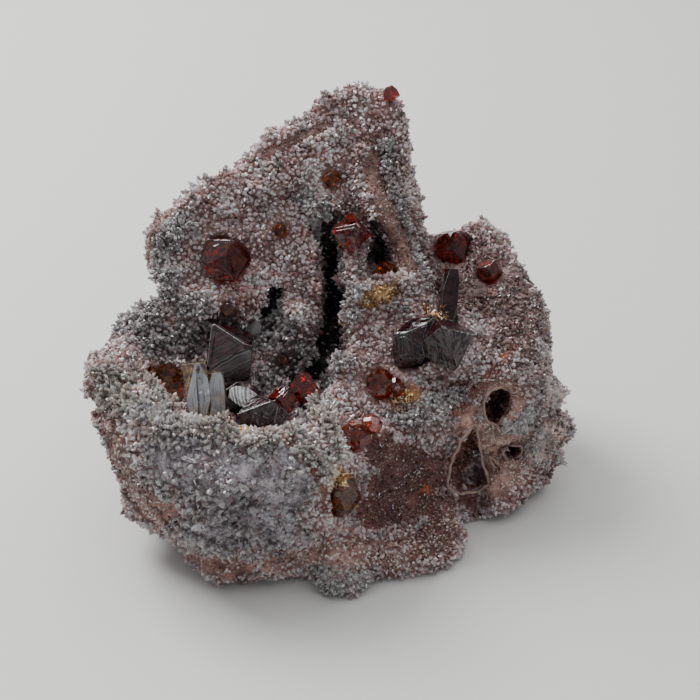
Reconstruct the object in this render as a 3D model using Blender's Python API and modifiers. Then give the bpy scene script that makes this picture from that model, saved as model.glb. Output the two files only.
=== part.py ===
"""Sphalerite crystals on a druzy quartz matrix, about 98 mm across.

The matrix is one stone: walls, ridges and lumps of quartz around an open basin, a deep cleft, a scooped
hollow and a broken, cellular end. Sphalerite crystals sit in their own sockets on it.
Metres, +Z up, the stone resting on its flat foot at Z = 0, the origin under the middle of its box.
"""

import math
import random

import bmesh
import bpy
from mathutils import Euler, Matrix, Vector
from mathutils.bvhtree import BVHTree

MM = 0.001

# Driving dimensions, in millimetres
GAP = 0.3  # clearance between a crystal and its socket
VOXEL = 0.85  # fineness of the fused rock before it is thinned out
ROCK_FACES = 4350  # triangles left in the rock
FOOT_Z = 0.0  # height of the flat foot
REACH = 90.0  # half width and depth of the block that cuts the foot, more than the stone's
WALL_LEAN = 35.0  # degrees that the tall back wall leans back from upright
WALL_TURN = 8.0  # degrees that it is turned about the vertical
CELL_RUN = (0.0, 0.84, -0.54)  # direction in which the broken end's cells run in
CELL_MOUTH = 4.0  # length of a cell's cutter in front of its rim
CELL_ROOM = 1.12  # how wide a rim is cut, because the skin narrows it again
CELL_END = 0.85  # size of a cell's inner end, as a share of its rim

SEED = 7

for old in list(bpy.data.objects):
    bpy.data.objects.remove(old)

specimen = bpy.data.collections.new("sphalerite_on_druzy_quartz")
workshop = bpy.data.collections.new("cutters")
bpy.context.scene.collection.children.link(specimen)
bpy.context.scene.collection.children.link(workshop)


# Rough forms: every one is a closed mesh in millimetres, kept in a list until it is fused


def link(mesh, name, collection):
    obj = bpy.data.objects.new(name, mesh)
    collection.objects.link(obj)
    return obj


def lump(centre, radii, turn=(0, 0, 0)):
    """An ellipsoid with its half axes in millimetres, turned in degrees."""
    shape = bmesh.new()
    bmesh.ops.create_icosphere(shape, subdivisions=4, radius=1.0)
    place = Matrix.LocRotScale(
        Vector(centre), Euler([math.radians(a) for a in turn]), Vector(radii)
    )
    bmesh.ops.transform(shape, matrix=place, verts=shape.verts)
    return shape


def prism(outline, bottom, top):
    """An outline in plan, raised from one height to another."""
    shape = bmesh.new()
    floor = shape.faces.new([shape.verts.new((x, y, bottom)) for x, y in outline])
    raised = bmesh.ops.extrude_face_region(shape, geom=[floor])
    up = [v for v in raised["geom"] if isinstance(v, bmesh.types.BMVert)]
    bmesh.ops.translate(shape, vec=(0, 0, top - bottom), verts=up)
    bmesh.ops.recalc_face_normals(shape, faces=shape.faces)
    return shape


def wall(outline, thickness, origin, lean, turn):
    """A flat outline stood up, leaned back and turned. Its front face passes through origin."""
    shape = prism(outline, -thickness, 0.0)
    upright = Euler((math.radians(90 - lean), 0, math.radians(turn))).to_matrix()
    place = Matrix.Translation(origin) @ upright.to_4x4()
    bmesh.ops.transform(shape, matrix=place, verts=shape.verts)
    return shape


def curtain(crest, drop, thickness):
    """A thin septum that hangs from a crest line: an open strip given thickness."""
    shape = bmesh.new()
    tops = [shape.verts.new(p) for p in crest]
    feet = [shape.verts.new((p[0], p[1], p[2] - drop)) for p in crest]
    for a in range(len(crest) - 1):
        shape.faces.new((tops[a], tops[a + 1], feet[a + 1], feet[a]))
    bmesh.ops.recalc_face_normals(shape, faces=shape.faces)
    bmesh.ops.solidify(shape, geom=shape.faces[:], thickness=thickness)
    return shape


def cell(rim, depth):
    """A chamber with flat walls: the corners of its rim, running in to a smaller end."""
    inward = Vector(CELL_RUN).normalized()
    corners = [Vector(corner) for corner in rim]
    heart = sum(corners, Vector()) / len(corners)
    shape = bmesh.new()
    wide = [shape.verts.new(heart + CELL_ROOM * (corner - heart) - CELL_MOUTH * inward) for corner in corners]
    mouth = shape.faces.new(wide)
    run = bmesh.ops.extrude_face_region(shape, geom=[mouth])
    end = [v for v in run["geom"] if isinstance(v, bmesh.types.BMVert)]
    bmesh.ops.translate(shape, vec=(CELL_MOUTH + depth) * inward, verts=end)
    middle = sum((v.co for v in end), Vector()) / len(end)
    bmesh.ops.scale(shape, vec=[CELL_END] * 3, space=Matrix.Translation(-middle), verts=end)
    bmesh.ops.recalc_face_normals(shape, faces=shape.faces)
    return shape


def trimmed(shape, point, normal):
    """What is left of a shape behind a plane, closed flat."""
    cut = bmesh.ops.bisect_plane(
        shape,
        geom=shape.verts[:] + shape.edges[:] + shape.faces[:],
        plane_co=point,
        plane_no=normal,
        clear_outer=True,
    )
    edges = [e for e in cut["geom_cut"] if isinstance(e, bmesh.types.BMEdge)]
    bmesh.ops.contextual_create(shape, geom=edges)
    bmesh.ops.recalc_face_normals(shape, faces=shape.faces)
    return shape


def joined(shapes, name, collection):
    """Shapes in millimetres as one object in metres."""
    whole = bmesh.new()
    for shape in shapes:
        form = bpy.data.meshes.new("form")
        shape.to_mesh(form)
        shape.free()
        whole.from_mesh(form)
        bpy.data.meshes.remove(form)
    bmesh.ops.scale(whole, vec=(MM, MM, MM), verts=whole.verts)
    mesh = bpy.data.meshes.new(name)
    whole.to_mesh(mesh)
    whole.free()
    return link(mesh, name, collection)


def tool(shapes, name):
    """Shapes as a cutter or a guide, drawn as wires and never rendered."""
    obj = joined(shapes, name, workshop)
    obj.hide_render = True
    obj.display_type = "WIRE"
    return obj


# The stone's solid forms


def front_boulder():
    """The big knob at the front left, whose face is a shallow bowl."""
    return [
        lump((-21, -16.5, 18), (25, 17.5, 19), (0, 7, -8)),
        lump((-35, -14, 26.5), (13, 13, 10.5), (0, 20, 0)),
        lump((-12, -20, 12), (13, 12, 15)),
        lump((-20, -23, 6), (14, 10, 9)),
        lump((-37, -16, 13), (8, 9, 9)),
    ]


def left_rim():
    """The flake at the far left and the ledge that closes the basin on that side."""
    return [
        lump((-46, -9, 34), (6, 6, 5), (0, 30, 0)),
        lump((-41, -1, 34.5), (6, 9, 6)),
        lump((-37, 5.5, 33), (8, 5.5, 8)),
        lump((-30, 8, 32), (11, 5, 9.5)),
        lump((-36, 4, 22), (9, 10, 14), (0, 20, 0)),
        lump((-36, -4, 18), (9, 11, 14)),
    ]


def back_wall():
    """The tall leaning plate behind the basin: a druse plate with a fold of older skin behind it."""
    front = [
        (-12, -6), (-12, 6), (-13.5, 10), (-12, 15), (-9, 19), (-6, 25), (-1, 28), (4, 29.5), (8, 33),
        (12, 36), (18, 38), (23, 41.5), (27.5, 43.5), (32, 43.5), (36.5, 43), (38.2, 38.5), (38.5, 32),
        (38.5, 25), (37, 19), (35, 11), (38, 0), (33, -14), (12, -14), (-2, -12),
    ]
    fold = [(-13, 0), (-16, 8), (-16.5, 13.5), (-14, 17), (-10, 19), (0, 22), (20, 30), (20, 0)]
    return [
        wall(front, 6.5, (-24, 6, 38), WALL_LEAN, WALL_TURN),
        wall(fold, 5.0, (-23.4, 9, 40.5), WALL_LEAN, WALL_TURN),
        lump((-25, 10, 36), (13, 5, 8), (20, 0, 8)),
        lump((6, 24, 42), (9.5, 8.5, 22), (-18, 0, 0)),
        lump((-4, 24, 40), (12, 6, 14), (-30, 0, 8)),
        lump((-11, 8, 30), (6, 6, 12), (-20, 0, 0)),
    ]


def septa():
    """The two ridges that part below the peak and meet again, with a pocket between them."""
    right = [(4, 27, 66), (5.6, 23.5, 62), (7.3, 20, 58.5), (10, 17, 54.5), (12, 16, 50), (14, 15, 46)]
    left = [(-5, 22, 58), (-3.2, 18, 55), (-1, 13, 51.5), (2, 8, 46.5)]
    rim = [(1.5, 8, 46), (4.5, 7.8, 45.5), (8.5, 10, 45.5), (13.5, 14.5, 46)]
    return [
        curtain(right, 26, 4.0),
        curtain(left, 26, 4.0),
        curtain(rim, 24, 4.0),
        lump((3, 16, 34), (9, 9, 14)),
    ]


def right_block():
    """The broad block at the right, sloping down to its overhanging front edge."""
    plan = [
        (-8, -13), (-4, -18), (6, -15.5), (13, -12), (24, -11), (31.5, -4), (37, 1), (38.5, 13), (35.5, 21),
        (31, 28), (26, 30), (18, 27), (8, 22), (0, 10), (-4, -2),
    ]
    block = prism(plan, 0, 52)
    trimmed(block, (24, 26, 44.5), (-0.08, -0.42, 0.90))
    trimmed(block, (38, 14, 38.5), (0.62, 0.0, 0.78))
    ramp = prism([(-3, 8), (-6, -6), (-4, -17), (10, -14), (17, 0), (15, 13), (4, 13)], 0, 52)
    trimmed(ramp, (6, 8, 43), (0.0, -0.63, 0.77))
    return [
        block,
        ramp,
        lump((29, 3, 22), (12.5, 12, 15)),
        lump((34.5, 15, 22), (8, 10, 15)),
        lump((19, 6, 32), (8, 13, 8), (-10, 0, 0)),
    ]


def spurs():
    """The broken tips that stand out of the cellular end."""
    return [
        lump((39, -1, 23.5), (4.5, 4, 2.2), (0, -10, 20)),
        lump((42, 0, 14.5), (5, 4, 2.6), (0, 20, 10)),
        lump((40.5, -2, 9.5), (4, 4, 2.0), (0, 30, 0)),
        lump((37, -3.5, 4), (5, 4, 4)),
    ]


def foot():
    """The thick foot under everything, with the ledge below the scooped hollow."""
    return [
        lump((-2, -16, 5), (24, 15, 10)),
        lump((9, -20, 2), (14, 9.5, 6)),
        lump((-2, -29, 1.5), (5, 5, 4)),
        lump((22, -3, 5), (18, 12, 9)),
        lump((12, 10, 12), (20, 14, 16)),
    ]


# The stone's hollows


def basin():
    """The open bowl behind the front boulder, where the dark crystals stand."""
    return [
        lump((-24, -10, 41), (16, 13.5, 12), (0, 0, 10)),
        lump((-18, -12, 39), (12.5, 13.5, 10.5)),
        lump((-9, -13, 36.5), (6, 10, 9), (0, 0, -15)),
        lump((-33, -5, 43), (10, 9, 11), (0, 25, 0)),
    ]


def cleft():
    """The deep gap between the back wall and the ridges, running in and down behind the basin."""
    return [
        lump((-3.2, 8.5, 43), (3.2, 6, 10), (-30, 0, 0)),
        lump((-5.2, -0.5, 35), (3.8, 6, 10), (-30, 0, 0)),
        lump((-9.5, -8, 31), (4.5, 6, 6)),
        lump((-4.6, 17, 54), (1.7, 3.5, 9), (-38, 0, 0)),
        lump((-6.4, 17.5, 51), (1.8, 8, 4), (-38, 0, 0)),
        lump((-4.0, 14.5, 45), (2.8, 10, 5), (-38, 0, 0)),
        lump((-3.4, 10.5, 38.5), (3.6, 12, 5.5), (-38, 0, 0)),
        lump((-3.8, 3.2, 34), (4.4, 9.5, 5.5), (-38, 0, 0)),
        lump((-6.0, -0.5, 28.6), (4.4, 6.5, 4.5), (-38, 0, 0)),
    ]


def pocket():
    """The narrow cell between the two ridges, and the trough that leads down to it."""
    return [
        lump((6.4, 12.5, 46), (3.8, 3.6, 9)),
        lump((2.0, 17.5, 60.5), (3.7, 3.4, 11), (-52, -14, 0)),
        lump((5.6, 17.7, 45.1), (3.4, 8.5, 3.6), (-38, 0, 0)),
    ]


def scoop():
    """The smooth hollow under the block's front edge."""
    return [
        lump((10.5, -24, 16), (12.5, 9.5, 11), (0, 12, 12)),
        lump((16, -19, 20), (7.5, 7, 6)),
    ]


def boulder_bowl():
    """The shallow bowl in the boulder's face."""
    return [lump((-17, -44, 20), (17, 14, 16))]


def cells():
    """The cells of the broken end, open where it broke off, and the gaps between its tips."""
    large = [
        (24.7, -11.7, 24.8), (21.9, -13.9, 22.6), (19.6, -16.1, 18.0), (19.2, -17.0, 12.7), (22.0, -15.6, 9.5),
        (25.8, -13.2, 8.0), (28.3, -11.4, 8.5), (26.3, -11.9, 14.9),
    ]
    upper = [
        (25.9, -10.3, 29.2), (27.2, -9.1, 30.8), (29.9, -7.4, 30.3), (32.1, -6.1, 28.5), (31.7, -6.9, 24.8),
        (29.6, -8.8, 21.7), (26.5, -10.5, 24.5),
    ]
    small = [
        (30.6, -9.0, 15.0), (31.8, -8.0, 15.8), (34.5, -6.4, 14.3), (35.2, -6.1, 12.4), (33.8, -7.3, 11.3),
        (31.8, -8.5, 12.2),
    ]
    slit = [(27.8, -10.8, 15.6), (29.6, -9.9, 13.1), (30.9, -9.5, 9.5), (29.1, -10.6, 11.0)]
    return [
        cell(large, 11.0),
        cell(upper, 10.0),
        cell(small, 8.0),
        cell(slit, 6.5),
        lump((24.6, -14, 4.6), (4.9, 6, 2.8), (0, 12, 0)),
        lump((38.5, -5.5, 19), (3.6, 5, 3.2)),
        lump((38, -6, 11.6), (2.6, 4, 1.2)),
    ]


def window():
    """The gap through the foot of the wall."""
    return [
        lump((-15.5, 10, 39), (2.7, 14, 2.4), (38, 0, 0)),
        lump((-18.5, 8, 36), (2.6, 14, 3.0), (38, 0, 0)),
    ]


def undercuts():
    """The open space below the leaning wall, the gap under the front edge and bowls in the back."""
    return [
        lump((-25, 29, 21), (28, 17, 16), (10, 0, 0)),
        lump((24, 36.5, 27), (9, 9, 10), (0, 0, 10)),
        lump((36, 31, 11), (9, 8, 9)),
        lump((11, 37, 13), (9, 9, 9)),
        lump((46, 9, 27), (8, 8, 7)),
        lump((45, 15, 11), (8, 8, 7)),
        lump((4, 43, 31), (9, 9, 8)),
        lump((11, 46, 50), (7, 8, 8)),
        lump((-12, 43, 50), (10, 8, 6), (20, 0, 0)),
        lump((-30, 34, 44), (9, 8, 6), (20, 0, 0)),
        lump((-9.5, -35, 1.5), (4.5, 6, 3.6)),
    ]


def notch():
    """The dark slot between the right ridge and the block."""
    return [lump((15.2, 20, 46.5), (1.8, 6, 5), (10, 14, 0))]


def skinned(obj, name):
    """One closed skin on a voxel grid round everything in the object."""
    remesh = obj.modifiers.new(name, "REMESH")
    remesh.mode = "VOXEL"
    remesh.voxel_size = VOXEL * MM


def fused(shapes, name):
    """Overlapping shapes as one object with one skin."""
    obj = tool(shapes, name)
    skinned(obj, "fuse")
    return obj


def cut(obj, cutter, name, operation="DIFFERENCE"):
    boolean = obj.modifiers.new(name, "BOOLEAN")
    boolean.operation = operation
    boolean.object = cutter


def roughen(obj, name, kind, grain, depth):
    """Moves the skin in and out by a procedural pattern, sizes in millimetres."""
    pattern = bpy.data.textures.new(name, kind)
    pattern.noise_scale = grain * MM
    displace = obj.modifiers.new(name, "DISPLACE")
    displace.texture = pattern
    displace.texture_coords = "LOCAL"
    displace.strength = depth * MM
    displace.mid_level = 0.5


def rock():
    """The whole stone before its crystals: forms fused, broad hollows cut, skin roughened, cells cut."""
    forms = front_boulder() + left_rim() + back_wall() + septa() + right_block() + spurs() + foot()
    solid = fused(forms, "rock_forms")
    cut(solid, fused(basin() + scoop() + boulder_bowl() + undercuts(), "broad_hollows"), "hollows")
    skinned(solid, "skin")
    roughen(solid, "swell", "CLOUDS", 9.0, 2.6)
    roughen(solid, "crags", "STUCCI", 3.2, 1.2)
    skinned(solid, "fused_again")
    cut(solid, fused(cleft() + pocket() + cells() + window() + notch(), "narrow_hollows"), "cells")
    skinned(solid, "fused_last")
    return solid


def frozen(obj, name, collection):
    """The object as its modifiers leave it, as a plain mesh."""
    graph = bpy.context.evaluated_depsgraph_get()
    mesh = bpy.data.meshes.new_from_object(obj.evaluated_get(graph))
    mesh.name = name
    return link(mesh, name, collection)


def largest(mesh):
    """Keeps the biggest connected piece of a mesh and deletes crumbs."""
    shape = bmesh.new()
    shape.from_mesh(mesh)
    left = set(shape.verts)
    pieces = []
    while left:
        seed = left.pop()
        piece = [seed]
        for vert in piece:
            for edge in vert.link_edges:
                other = edge.other_vert(vert)
                if other in left:
                    left.remove(other)
                    piece.append(other)
        pieces.append(piece)
    pieces.sort(key=len)
    for piece in pieces[:-1]:
        bmesh.ops.delete(shape, geom=piece, context="VERTS")
    shape.to_mesh(mesh)
    shape.free()


def stone_blank():
    """The matrix thinned to a moderate number of flat faces and cut flat at its foot."""
    stone = frozen(rock(), "stone_blank", workshop)
    stone.hide_render = True
    stone.display_type = "WIRE"
    largest(stone.data)
    triangles = sum(len(face.vertices) - 2 for face in stone.data.polygons)
    thin = stone.modifiers.new("thin", "DECIMATE")
    thin.ratio = ROCK_FACES / triangles
    square = [(-REACH, -REACH), (REACH, -REACH), (REACH, REACH), (-REACH, REACH)]
    ground = tool([prism(square, FOOT_Z - REACH, FOOT_Z)], "ground")
    cut(stone, ground, "foot")
    return stone


# Sphalerite: crystals of the cubic system, cut from a block by their own faces


PLUS = [(1, 1, 1), (1, -1, -1), (-1, 1, -1), (-1, -1, 1)]
MINUS = [(-x, -y, -z) for x, y, z in PLUS]
CUBE = [(1, 0, 0), (-1, 0, 0), (0, 1, 0), (0, -1, 0), (0, 0, 1), (0, 0, -1)]
DODECA = [(a, b, 0) for a in (1, -1) for b in (1, -1)]
DODECA += [(a, 0, b) for a in (1, -1) for b in (1, -1)]
DODECA += [(0, a, b) for a in (1, -1) for b in (1, -1)]

# How far each form's faces lie from the middle, as a share of the crystal's half size
HABITS = {
    "octahedral": ((PLUS, 0.60), (MINUS, 0.66), (DODECA, 0.86), (CUBE, 0.95)),
    "tetrahedral": ((PLUS, 0.46), (MINUS, 0.80), (DODECA, 0.84), (CUBE, 0.92)),
    "dodecahedral": ((DODECA, 0.80), (PLUS, 0.84), (MINUS, 0.90)),
    "rounded": ((PLUS, 0.90), (MINUS, 0.92), (DODECA, 0.90), (CUBE, 0.95)),
    "bladed": ((CUBE, 0.80), (PLUS, 1.02), (MINUS, 1.16)),
}


def crystal(centre, size, habit, turn=(0, 0, 0), stretch=(1, 1, 1), grow=0.0):
    """One crystal of a habit, stretched and then turned; grow moves every face out for a socket."""
    chance = random.Random(f"{centre}{habit}")
    shape = bmesh.new()
    bmesh.ops.create_cube(shape, size=6 * size * max(stretch))
    for normals, distance in HABITS[habit]:
        for normal in normals:
            squeezed = Vector([n / k for n, k in zip(Vector(normal).normalized(), stretch)])
            out = distance * size * chance.uniform(0.93, 1.07) / squeezed.length + grow
            facet = squeezed.normalized()
            trimmed(shape, facet * out, facet)
    place = Matrix.LocRotScale(Vector(centre), Euler([math.radians(a) for a in turn]), None)
    bmesh.ops.transform(shape, matrix=place, verts=shape.verts)
    return shape


RUBY = ("sphalerite_ruby", (0.20, 0.012, 0.008), 0.12)
DARK = ("sphalerite_dark", (0.030, 0.010, 0.008), 0.10)
AMBER = ("sphalerite_amber", (0.42, 0.13, 0.03), 0.15)
QUARTZ = ("druzy_quartz", (0.40, 0.33, 0.35), 0.35)

# Each crystal or crystal group: its finish, then its parts as centre, half size, habit, turn, stretch
CRYSTALS = {
    "sphalerite_big_dark": (DARK, [
        ((-23.6, -2.3, 35.2), 6.8, "octahedral", (83, -55, 148), (1, 1, 1)),
    ]),
    "sphalerite_silver_twin": (DARK, [
        ((-28.7, -15.8, 35.6), 4.6, "bladed", (-33, -2, 10), (0.60, 0.62, 1.60)),
        ((-25.3, -16.0, 34.4), 4.4, "bladed", (-33, -2, 3), (0.50, 0.62, 1.50)),
    ]),
    "sphalerite_striated": (DARK, [
        ((-20.2, -12.4, 31.3), 3.6, "bladed", (30, 0, -8), (1.0, 0.7, 0.85)),
        ((-22.8, -10.4, 31.2), 2.6, "octahedral", (10, 30, 40), (1, 1, 1.2)),
    ]),
    "sphalerite_dark_front": (DARK, [
        ((-16.6, -19.2, 33.0), 5.6, "octahedral", (28, 20, 30), (1.05, 0.8, 1)),
    ]),
    "sphalerite_deep_upper": (RUBY, [
        ((-12.8, -12.2, 31.0), 3.0, "dodecahedral", (0, 20, 10), (1, 1, 1)),
    ]),
    "sphalerite_deep_red": (RUBY, [
        ((-8.8, -5.2, 28.6), 3.6, "tetrahedral", (10, 30, 0), (1, 1, 1)),
    ]),
    "sphalerite_small_red": (RUBY, [
        ((-13.6, 1.7, 30.3), 1.6, "tetrahedral", (10, 0, 30), (1, 1, 1)),
    ]),
    "sphalerite_amber_basin": (AMBER, [
        ((-38.4, -8.0, 32.4), 3.4, "octahedral", (20, 0, 10), (1, 1, 1)),
        ((-35.2, -10.0, 30.8), 3.8, "tetrahedral", (0, 20, 40), (1, 1, 1)),
        ((-35.4, -6.2, 31.6), 3.4, "dodecahedral", (0, 0, 15), (1, 1, 1)),
    ]),
    "sphalerite_ruby_left": (RUBY, [
        ((-24.9, 11.6, 47.8), 4.9, "dodecahedral", (20, 10, 25), (1, 1, 1)),
    ]),
    "sphalerite_orange_fragment": (AMBER, [
        ((-24.0, 4.8, 40.2), 1.9, "tetrahedral", (0, 30, 10), (1, 1, 1)),
    ]),
    "sphalerite_orange_small": (AMBER, [
        ((-13.8, 16.0, 51.7), 1.5, "dodecahedral", (0, 15, 0), (1, 1, 1)),
    ]),
    "sphalerite_amber_brown": (AMBER, [
        ((-3.8, 23.0, 59.5), 2.2, "octahedral", (10, 10, 20), (1, 1, 1)),
    ]),
    "sphalerite_peak": (RUBY, [
        ((8.4, 34.7, 72.0), 2.0, "tetrahedral", (0, 20, 0), (1, 1, 1)),
    ]),
    "sphalerite_septum": (RUBY, [
        ((0.2, 14.0, 52.6), 4.2, "octahedral", (35, 15, 10), (1, 1, 1)),
    ]),
    "sphalerite_pocket": (AMBER, [
        ((7.4, 13.6, 44.0), 3.0, "tetrahedral", (30, 0, 20), (1, 0.8, 0.7)),
    ]),
    "sphalerite_ruby_right": (RUBY, [
        ((21.1, 23.2, 43.2), 3.9, "dodecahedral", (15, 0, 30), (1, 1, 1)),
    ]),
    "sphalerite_ruby_small": (RUBY, [
        ((28.4, 17.4, 40.9), 2.7, "dodecahedral", (0, 20, 10), (1, 1, 1)),
    ]),
    "sphalerite_black_twin": (DARK, [
        ((12.6, -2.0, 37.4), 5.2, "dodecahedral", (0, 35, 20), (0.95, 0.8, 1.15)),
        ((18.2, -2.8, 38.4), 6.8, "octahedral", (25, -10, 15), (0.9, 1, 0.9)),
        ((19.4, 5.2, 41.8), 5.6, "bladed", (-38, 6, 0), (0.34, 0.5, 1.5)),
    ]),
    "sphalerite_bead_upper": (RUBY, [
        ((6.1, -6.8, 31.2), 2.8, "rounded", (0, 0, 0), (1, 1, 1)),
        ((8.8, -7.4, 30.9), 1.8, "rounded", (10, 20, 0), (1, 1, 1)),
    ]),
    "sphalerite_bead_lower": (RUBY, [
        ((1.1, -18.0, 27.3), 3.0, "rounded", (0, 0, 0), (1, 1, 1)),
        ((4.2, -15.6, 28.0), 2.0, "rounded", (20, 20, 0), (1, 1, 1)),
    ]),
    "sphalerite_amber_gem": (AMBER, [
        ((-1.6, -26.6, 19.6), 4.2, "dodecahedral", (12, 12, 10), (0.85, 0.85, 1.55)),
    ]),
}


def finish(obj, name, colour, roughness):
    """A plain material of its own for a piece."""
    material = bpy.data.materials.new(name)
    material.use_nodes = True
    shader = material.node_tree.nodes["Principled BSDF"]
    shader.inputs["Base Color"].default_value = (*colour, 1.0)
    shader.inputs["Roughness"].default_value = roughness
    obj.data.materials.clear()
    obj.data.materials.append(material)


def sphalerite(name, look, parts, stone):
    """A crystal or a group grown together, as one solid, with its socket cut in the stone."""
    body = joined([crystal(*parts[0])], name, specimen)
    for number, part in enumerate(parts):
        socket = tool([crystal(*part, grow=GAP)], f"{name}_socket_{number}")
        cut(stone, socket, f"{name}_{number}")
        if number:
            other = tool([crystal(*part)], f"{name}_part_{number}")
            cut(body, other, "grown_together", "UNION")
    finish(body, *look)


# Stubby quartz points, big enough to see as crystals, on the boulder, the rims and the front edge


POINTS = 66
POINT_APART = 4.2  # least distance between two of them, in millimetres, so that none overlap
POINT_CLEAR = 7.0  # least distance from the middle of a sphalerite crystal
POINT_LOWEST = 3.0  # least height over the flat foot
POINT_SUNK = 1.2  # length of a point that is buried in the stone
POINT_RADIUS = (1.1, 1.7)
POINT_STANDS = (1.5, 2.4)  # length that stands clear of the stone
POINT_LEAN = 0.35  # how far a point leans from square to the skin

# Balls that the points are strewn in: centre and radius
POINT_REGIONS = [
    ((-22, -30, 22), 22), ((-40, -18, 32), 12), ((-36, 6, 42), 10), ((-24, 22, 60), 14),
    ((6, 32, 72), 10), ((0, -12, 32), 12), ((20, -8, 29), 13), ((-10, 6, 38), 9), ((-2, -34, 4), 9),
]


def quartz_point(base, direction, radius, length, spin):
    """A six-sided stem with a six-sided tip."""
    shape = bmesh.new()
    stem = 0.55 * length
    bmesh.ops.create_cone(
        shape, cap_ends=True, segments=6, radius1=radius, radius2=0.94 * radius, depth=stem
    )
    top = max(shape.faces, key=lambda face: face.calc_center_median().z)
    bmesh.ops.poke(shape, faces=[top], offset=length - stem)
    bmesh.ops.translate(shape, vec=(0, 0, stem / 2), verts=shape.verts)
    turn = direction.to_track_quat("Z", "Y").to_matrix() @ Matrix.Rotation(spin, 3, "Z")
    bmesh.ops.transform(shape, matrix=Matrix.Translation(base) @ turn.to_4x4(), verts=shape.verts)
    return shape


def quartz_points(stone):
    """Points strewn over the chosen regions of the stone, clear of each other and of the sphalerite."""
    chance = random.Random(SEED)
    graph = bpy.context.evaluated_depsgraph_get()
    skin = BVHTree.FromObject(stone, graph)
    keep_off = [Vector(part[0]) for _, parts in CRYSTALS.values() for part in parts]
    placed = []
    shapes = []
    while len(placed) < POINTS:
        middle, reach = chance.choice(POINT_REGIONS)
        throw = Vector([chance.uniform(-1, 1) for _ in range(3)]) * reach + Vector(middle)
        hit, normal, _, _ = skin.find_nearest(throw * MM)
        spot = hit / MM
        if any((spot - other).length < POINT_APART for other in placed):
            continue
        if any((spot - other).length < POINT_CLEAR for other in keep_off) or spot.z < POINT_LOWEST:
            continue
        lean = Vector([chance.uniform(-POINT_LEAN, POINT_LEAN) for _ in range(3)])
        direction = (normal + lean).normalized()
        radius = chance.uniform(*POINT_RADIUS)
        length = POINT_SUNK + chance.uniform(*POINT_STANDS)
        base = spot - POINT_SUNK * direction
        shapes.append(quartz_point(base, direction, radius, length, chance.uniform(0, math.pi / 3)))
        placed.append(spot)
    return tool(shapes, "quartz_points")


def stand_over_origin():
    """Moves everything alike, so that the origin lies under the middle of the stone's box."""
    graph = bpy.context.evaluated_depsgraph_get()
    graph.update()
    corners = [
        obj.matrix_world @ vert.co
        for obj in specimen.objects
        for vert in obj.evaluated_get(graph).data.vertices
    ]
    for axis in (0, 1):
        low = min(corner[axis] for corner in corners)
        high = max(corner[axis] for corner in corners)
        for obj in list(specimen.objects) + list(workshop.objects):
            obj.location[axis] -= (low + high) / 2


stone = stone_blank()
cut(stone, quartz_points(stone), "points", "UNION")
for crystal_name, (look, parts) in CRYSTALS.items():
    sphalerite(crystal_name, look, parts, stone)
matrix = frozen(stone, "druzy_quartz_matrix", specimen)
largest(matrix.data)
finish(matrix, *QUARTZ)
stand_over_origin()
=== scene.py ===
"""Sphalerite on druzy quartz: the finished looks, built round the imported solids. Metres, +Z up."""

import math

import bmesh
import bpy
import numpy as np
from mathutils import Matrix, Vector, noise
from mathutils.bvhtree import BVHTree


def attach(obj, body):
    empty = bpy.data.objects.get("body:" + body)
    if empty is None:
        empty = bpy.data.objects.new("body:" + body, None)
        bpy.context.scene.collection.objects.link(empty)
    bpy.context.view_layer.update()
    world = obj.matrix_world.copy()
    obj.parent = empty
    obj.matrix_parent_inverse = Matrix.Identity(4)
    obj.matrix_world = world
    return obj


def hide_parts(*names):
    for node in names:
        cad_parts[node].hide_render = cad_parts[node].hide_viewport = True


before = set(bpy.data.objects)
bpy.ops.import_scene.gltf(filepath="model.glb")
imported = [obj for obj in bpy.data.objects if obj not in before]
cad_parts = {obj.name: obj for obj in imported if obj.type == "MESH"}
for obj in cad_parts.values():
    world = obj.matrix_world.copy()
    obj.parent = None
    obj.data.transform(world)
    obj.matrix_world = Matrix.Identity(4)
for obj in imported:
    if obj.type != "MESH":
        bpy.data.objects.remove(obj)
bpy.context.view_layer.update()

# The bare stone: massive quartz stained by iron, grown as walls, ridges and lumps round open hollows.
# Its skin is the solid's own, taken on a fine grid, with the broken facets rubbed down and the
# grain of the rock pushed into it, so that it carries the druse and shows between it.

MM = 0.001
CENTRE = np.array((2.49, -2.27, 0.0))  # millimetres from the layout's origin to the frame's
GRID = 0.68  # millimetres between the skin's points
RUBS = 7  # passes that smooth the facets down
SWELL = (4.0, 1.4)  # size and height of the skin's lumps, in millimetres
GRAIN = (1.3, 0.7)  # size and height of its grain
CALM = 0.6  # how much of both is lost where the skin is smooth


def linear(code):
    """An sRGB hex colour as linear RGBA."""
    parts = [int(code[i:i + 2], 16) / 255 for i in (1, 3, 5)]
    return [c / 12.92 if c <= 0.04045 else ((c + 0.055) / 1.055) ** 2.4 for c in parts] + [1.0]


def new_object(mesh, name):
    """A mesh as an object of the scene."""
    obj = bpy.data.objects.new(name, mesh)
    bpy.context.scene.collection.objects.link(obj)
    return obj


def read(mesh, what="co"):
    """Vertex places or normals of a mesh as an array."""
    flat = np.empty(len(mesh.vertices) * 3, np.float32)
    mesh.vertices.foreach_get(what, flat)
    return flat.reshape(-1, 3).astype(np.float64)


def settled(obj):
    """The mesh that an object's modifiers make."""
    graph = bpy.context.evaluated_depsgraph_get()
    graph.update()
    return bpy.data.meshes.new_from_object(obj.evaluated_get(graph))


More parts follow.
